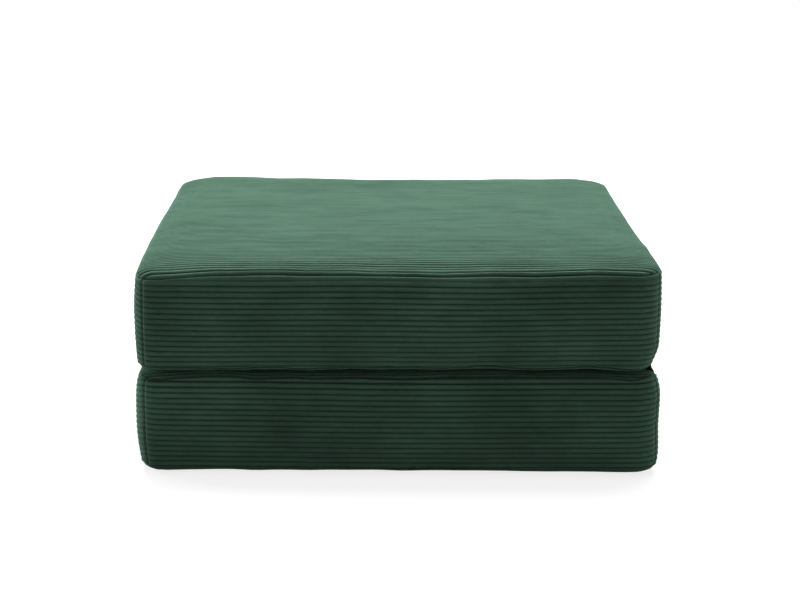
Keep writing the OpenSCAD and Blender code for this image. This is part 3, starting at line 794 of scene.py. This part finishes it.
def corduroy(name, along_x):
    """Dark green pile in ribs: grooves painted dark as shade, ridges painted pale as highlight
    along the top's edges and paler near the seams, and fine pile.
    """
    m = Nodes(bpy.data.materials.new(name))
    pos = m.coordinates()

    def noise(along, across, up, detail, rough):
        """Noise by its density along the wales, across them and upwards."""
        density = (along, across, up) if along_x else (across, along, up)
        return m.noise(m.scaled(pos, density), 1.0, detail, rough)

    wale, seam, opened = m.attribute("wale"), m.attribute("seam"), m.attribute("open")
    # 0 in a groove and 1 on a ridge
    t = m.times(m.minus(m.math("FRACT", wale), 0.5), 2.0)
    across = m.times(m.math("ABSOLUTE", t), m.plus(1.0, m.times(opened, 0.22)))
    edge = m.math("POWER", across, m.minus(3.0, m.times(opened, 0.9)))
    ridge = m.minus(1.0, edge, clamp=True)
    # short pile, tied down in rows of tufts across the wales
    pile = noise(520.0, 1300.0, 1300.0, 2.0, 0.65)
    fibre = noise(3200.0, 3200.0, 3200.0, 1.0, 0.5)
    tuft = noise(60.0, 210.0, 210.0, 2.0, 0.5)
    rows = m.wave(pos, 330.0, 1.2, 3.0, "X" if along_x else "Y")
    # the nap lies this way and that in soft patches, and catches the light along the wales
    nap = noise(7.0, 7.0, 9.0, 2.0, 0.5)
    rubbed = noise(34.0, 34.0, 34.0, 3.0, 0.6)
    streak = noise(11.0, 140.0, 140.0, 2.0, 0.6)
    sweep = noise(9.0, 65.0, 65.0, 3.0, 0.65)
    up_facing = m.math("ABSOLUTE", m.add("ShaderNodeSeparateXYZ", {
        0: m.coordinates("Normal")}).outputs["Z"])
    # painted shade: the grooves between the wales are painted dark, and wider where the cord is
    # opened
    cord = m.mix(ridge, GROOVE_SHADE, RIDGE)
    # painted highlight: the ridges along the top's front and rear edges are painted pale, where
    # they face the light
    bold = m.times(m.minus(opened, 0.8), 5.0, clamp=True)
    cord = m.mix(m.times(m.times(bold, ridge), 0.75), cord, EDGE_HIGHLIGHT)
    tone = m.plus(m.times(pile, 0.36), m.times(fibre, 0.24))
    tone = m.plus(tone, m.times(rows, 0.10))
    tone = m.plus(tone, m.times(tuft, 0.35))
    tone = m.plus(m.times(nap, 0.22), tone)
    shade = m.ramp(tone, [(0.30, (0.62, 0.62, 0.62)), (0.62, (1, 1, 1)), (0.9, (1.30, 1.30, 1.28))])
    base = m.mix(1.0, cord, shade, "MULTIPLY")
    broad = m.minus(1.1, m.times(up_facing, 0.80))
    fine = m.plus(0.5, m.times(up_facing, 0.5))
    lie = m.plus(m.times(m.minus(nap, 0.5), broad), m.times(m.minus(streak, 0.5), fine))
    lie = m.plus(lie, m.times(m.minus(rubbed, 0.5), 0.28))
    lie = m.plus(lie, m.times(m.minus(sweep, 0.5), up_facing))
    lie = m.plus(1.08, lie)
    base = m.mix(1.0, base, m.ramp(m.times(lie, 0.5), [(0.0, (0, 0, 0)), (1.0, (2, 2, 2))]),
                 "MULTIPLY")
    # the ridges are paler close to a seam
    near_seam_pale = m.times(m.minus(1.0, m.math("DIVIDE", seam, 0.012), clamp=True), 0.14)
    base = m.mix(m.times(near_seam_pale, ridge), base, SEAM_PALE)
    # no light reaches the bottom of a seam
    deep = m.times(m.minus(1.0, m.math("DIVIDE", seam, 0.0030), clamp=True), 0.95)
    base = m.mix(deep, base, SEAM_BOTTOM)
    height = m.plus(m.times(pile, 0.00042), m.times(fibre, 0.00022))
    height = m.plus(height, m.times(rows, 0.00010))
    b = m.add("ShaderNodeBsdfPrincipled", {
        "Base Color": base, "Roughness": 0.92, "Normal": m.bump(height, 0.7),
        "Specular IOR Level": 0.12, "Sheen Weight": 0.80, "Sheen Roughness": 0.40,
        "Sheen Tint": SHEEN})
    return m.finish(b.outputs[0])


def cloth_weave(name, dark, light, pitch):
    """A plain narrow weave, as on a zip's tape."""
    m = Nodes(bpy.data.materials.new(name))
    pos = m.coordinates()
    weave = m.times(*(m.wave(pos, 1 / pitch / 2, 1.5, 2.0, direction) for direction in "XZ"))
    fuzz = m.noise(m.scaled(pos, (1500.0, 1500.0, 1500.0)), 1.0, 2.0, 0.6)
    base = m.mix(m.plus(m.times(weave, 0.7), m.times(fuzz, 0.3)), dark, light)
    b = m.add("ShaderNodeBsdfPrincipled", {
        "Base Color": base, "Roughness": 0.88, "Normal": m.bump(m.times(weave, 0.0003), 0.7),
        "Sheen Weight": 0.3, "Specular IOR Level": 0.2})
    return m.finish(b.outputs[0])


def brushed_metal(name):
    """Cast and tumbled zinc: a little uneven in tone and gloss."""
    m = Nodes(bpy.data.materials.new(name))
    pos = m.coordinates()
    cast = m.noise(m.scaled(pos, (260.0, 260.0, 260.0)), 1.0, 3.0, 0.6)
    scratch = m.noise(m.scaled(pos, (140.0, 2600.0, 2600.0)), 1.0, 2.0, 0.6)
    b = m.add("ShaderNodeBsdfPrincipled", {
        "Base Color": m.mix(cast, (0.20, 0.20, 0.195), (0.42, 0.415, 0.40)), "Metallic": 1.0,
        "Roughness": m.plus(m.times(scratch, 0.22), 0.28),
        "Normal": m.bump(m.times(scratch, 0.00005), 0.5)})
    return m.finish(b.outputs[0])


cord_x, cord_y = corduroy("corduroy_along_length", True), corduroy("corduroy_along_depth", False)
for cover, body in zip(covers, ("lower_slab", "upper_slab")):
    cover.data.materials.append(cord_x)
    cover.data.materials.append(cord_y)
    side = "lower" if body == "lower_slab" else "upper"
    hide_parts(*[f"{side}_{n}" for n in (
        "outer_panel", "inner_panel", "front_panel", "right_panel", "left_panel",
        "rear_outer_panel", "rear_inner_panel", "foam_core", "outer_wadding", "inner_wadding")])
    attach(cover, body)


# ---------------------------------------------------------------- hinge strip
def new_object(name, verts, faces, **attrs):
    mesh = bpy.data.meshes.new(name)
    mesh.from_pydata([tuple(v) for v in verts], [], [tuple(int(i) for i in f) for f in faces])
    for key, values in attrs.items():
        data = mesh.attributes.new(key, "FLOAT", "POINT").data
        data.foreach_set("value", np.asarray(values, np.float32))
    mesh.update()
    mesh.shade_smooth()
    o = bpy.data.objects.new(name, mesh)
    bpy.context.scene.collection.objects.link(o)
    return o


def shell(outer, inner):
    """Vertices and faces of a closed sheet from two grids that lie on each other."""
    rows, cols = outer.shape[:2]
    n = rows * cols
    faces = [*grid_faces(rows, cols, 0, False), *grid_faces(rows, cols, n, True)]
    ids = rim(np.arange(n).reshape(rows, cols))
    for a, b in zip(ids, ids[1:] + ids[:1]):
        faces.append((b, a, a + n, b + n))
    return np.vstack([outer.reshape(-1, 3), inner.reshape(-1, 3)]), faces


def hinge():
    # it runs between the rounded corners
    share = np.linspace(0.028, 0.930, 150)
    level = np.full((1, len(share)), -1.0)
    low_edge, high_edge = (slab.place(slab.wall(RIGHT, share[None], level))[0]
                           for slab in (lower_slab, upper_slab))
    pts, nor, _ = OUT.side(RIGHT)
    arc = run_length(pts)
    n = np.stack([np.interp(share * arc[-1], arc, nor[:, i]) for i in (0, 1)] + [0 * share], -1)
    y = low_edge[:, 1]
    # halfway up it stands out, but it is tucked in at the front
    reach = -0.0030 + 0.0125 * smooth((y + 0.390) / 0.14)
    outer, inner, wale = [], [], []
    for t in np.linspace(-1, 1, 25):
        p = low_edge * (1 - t) / 2 + high_edge * (1 + t) / 2
        bent = math.cos(t * math.pi / 2)
        bulge = reach * bent - 0.0018 * (1 - bent)
        rib = 0.0011 * wale_profile(t + 1)
        outer.append(p + n * (bulge + rib - FABRIC_OUTSIDE)[:, None])
        inner.append(p + n * (bulge + rib - FABRIC_INSIDE)[:, None])
        wale.append(np.full(len(y), t + 1))
    verts, faces = shell(np.array(outer), np.array(inner))
    wale = np.tile(np.ravel(wale), 2)
    o = new_object("hinge_fabric", verts, [f[::-1] for f in faces],
                   wale=wale, open=0 * wale, seam=0 * wale + 0.05)
    o.data.materials.append(cord_y)
    return o


strip = hinge()
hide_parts("hinge_strip")
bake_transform(strip)

# ---------------------------------------------------------------- zips
tape_cloth = cloth_weave("zip_tape_weave", (0.020, 0.036, 0.028), (0.046, 0.074, 0.060), 0.0011)
coil_nylon = cloth_weave("zip_coil_nylon", (0.016, 0.028, 0.022), (0.034, 0.052, 0.043), 0.0009)
metal = brushed_metal("zip_zinc")
COIL_Y = 0.442692       # middle of the coils, going rearwards
COIL_HALF = 0.0012      # half height of a coil over its tape
TURN = 0.0020           # from one turn of a coil to the next
THREAD = 0.00035        # radius of a coil's thread


def coil(name, z_mid, sign):
    """One side of the zip: a flattened nylon spiral whose turns reach the other's."""
    steps = 10
    t = np.arange(int(2 * ZIP_HALF / TURN) * steps + 1)
    angle = 2 * math.pi * t / steps
    x = -ZIP_HALF + TURN * t / steps + (0 if sign > 0 else TURN / 2)
    x = np.clip(x, -ZIP_HALF, ZIP_HALF)
    reach = np.where(np.cos(angle) * -sign > 0, 0.0019, 0.0010)
    z = z_mid + sign * 0.0021 + reach * np.cos(angle)
    y = COIL_Y + (COIL_HALF - THREAD) * np.sin(angle)
    line = np.stack([x, y, z], -1)
    d = np.gradient(line, axis=0)
    d /= np.linalg.norm(d, axis=1)[:, None]
    side = np.cross(d, np.array([1.0, 0, 0]))
    side /= np.linalg.norm(side, axis=1)[:, None]
    other = np.cross(d, side)
    ring = [line + THREAD * (side * math.cos(a) + other * math.sin(a))
            for a in (0.6, 2.17, 3.74, 5.31)]
    verts = np.stack(ring, 1).reshape(-1, 3)
    faces = []
    for i in range(len(line) - 1):
        for j in range(4):
            k = (j + 1) % 4
            faces.append((4 * i + j, 4 * i + k, 4 * i + 4 + k, 4 * i + 4 + j))
    last = 4 * (len(line) - 1)
    faces += [(3, 2, 1, 0), (last, last + 1, last + 2, last + 3)]
    o = new_object(name, verts, faces)
    o.data.materials.append(coil_nylon)
    return o


for side, z_mid, outward in (("lower", FOLD_Z - ZIP_MID, -1), ("upper", FOLD_Z + ZIP_MID, 1)):
    for part, sign in (("outer", outward), ("inner", -outward)):
        spiral = coil(f"{side}_{part}_coil_spiral", z_mid, sign)
        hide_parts(f"{side}_zip_{part}_coil")
        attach(spiral, f"{side}_slab")
        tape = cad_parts[f"{side}_zip_{part}_tape"]
        tape.data.materials.clear()
        tape.data.materials.append(tape_cloth)
    for part in ("stops", "slider", "pull"):
        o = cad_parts[f"{side}_zip_{part}"]
        o.data.materials.clear()
        o.data.materials.append(metal)
        bevel = o.modifiers.new("worn_edges", "BEVEL")
        bevel.width, bevel.segments, bevel.limit_method = 0.00018, 2, "ANGLE"

# ---------------------------------------------------------------- stage, light and camera
floor_mesh = bpy.data.meshes.new("floor")
floor_mesh.from_pydata([(-30, -30, 0), (30, -30, 0), (30, 30, 0), (-30, 30, 0)], [], [(0, 1, 2, 3)])
floor = bpy.data.objects.new("floor", floor_mesh)
bpy.context.scene.collection.objects.link(floor)
m = Nodes(bpy.data.materials.new("floor_white"))
# the floor bounces little light, and looks white with the object's shadow on it
bounce = m.add("ShaderNodeBsdfDiffuse", {"Color": (0.40, 0.40, 0.40, 1)})
pale = m.add("ShaderNodeBsdfDiffuse", {"Color": (0.38, 0.38, 0.38, 1)})
away = m.add("ShaderNodeVectorMath", {0: m.coordinates()}, operation="LENGTH").outputs["Value"]
far = m.times(m.minus(away, 0.9), 1.2, clamp=True)
white = m.add("ShaderNodeEmission", {"Color": (1, 1, 1, 1),
                                     "Strength": m.plus(0.80, m.times(far, 0.20))})
both = m.add("ShaderNodeAddShader", {0: pale.outputs[0], 1: white.outputs[0]})
choose = m.add("ShaderNodeMixShader", {0: m.seen_straight(), 1: bounce.outputs[0],
                                       2: both.outputs[0]})
floor.data.materials.append(m.finish(choose.outputs[0]))

w = Nodes(bpy.data.worlds.new("studio"), "ShaderNodeOutputWorld")
light, white = (w.add("ShaderNodeBackground", {"Color": (1, 1, 1, 1), "Strength": strength})
                for strength in (0.34, 1.0))
choose = w.add("ShaderNodeMixShader", {0: w.seen_straight(), 1: light.outputs[0],
                                       2: white.outputs[0]})
bpy.context.scene.world = w.finish(choose.outputs[0])


def area(name, place, aim, size, power):
    light = bpy.data.lights.new(name, "AREA")
    light.shape, light.energy = "RECTANGLE", power
    light.size, light.size_y = size
    o = bpy.data.objects.new(name, light)
    bpy.context.scene.collection.objects.link(o)
    o.location = place
    o.rotation_euler = (Vector(aim) - Vector(place)).to_track_quat("-Z", "Y").to_euler()


area("top_softbox", place=(0.0, 1.1, 3.0), aim=(0, 0.1, 0.3), size=(3.0, 2.4), power=204)
area("left_softbox", place=(-3.0, 0.9, 0.9), aim=(-0.4, -0.2, 0.2), size=(1.2, 1.4), power=30)

# the camera of the photo: place in metres, angles in radians, focal length and width in pixels
CAM_AT = (-0.0580, -3.5535, 1.1919)
YAW, PITCH_DOWN, ROLL = 0.01895, 0.26479, 0.01288
FOCAL_PX, FRAME_W, SENSOR = 1745.0, 800.0, 36.0
forward = Vector((math.sin(YAW) * math.cos(PITCH_DOWN), math.cos(YAW) * math.cos(PITCH_DOWN),
                  -math.sin(PITCH_DOWN)))
level_right = Vector((math.cos(YAW), -math.sin(YAW), 0))
level_up = level_right.cross(forward)
right = math.cos(ROLL) * level_right + math.sin(ROLL) * level_up
up = -math.sin(ROLL) * level_right + math.cos(ROLL) * level_up
cam_data = bpy.data.cameras.new("camera")
cam_data.sensor_width = SENSOR
cam_data.lens = FOCAL_PX / FRAME_W * SENSOR
cam = bpy.data.objects.new("camera", cam_data)
bpy.context.scene.collection.objects.link(cam)
cam.matrix_world = Matrix.Translation(CAM_AT) @ Matrix((right, up, -forward)).transposed().to_4x4()
bpy.context.scene.camera = cam

bpy.context.scene.view_settings.view_transform = "Standard"
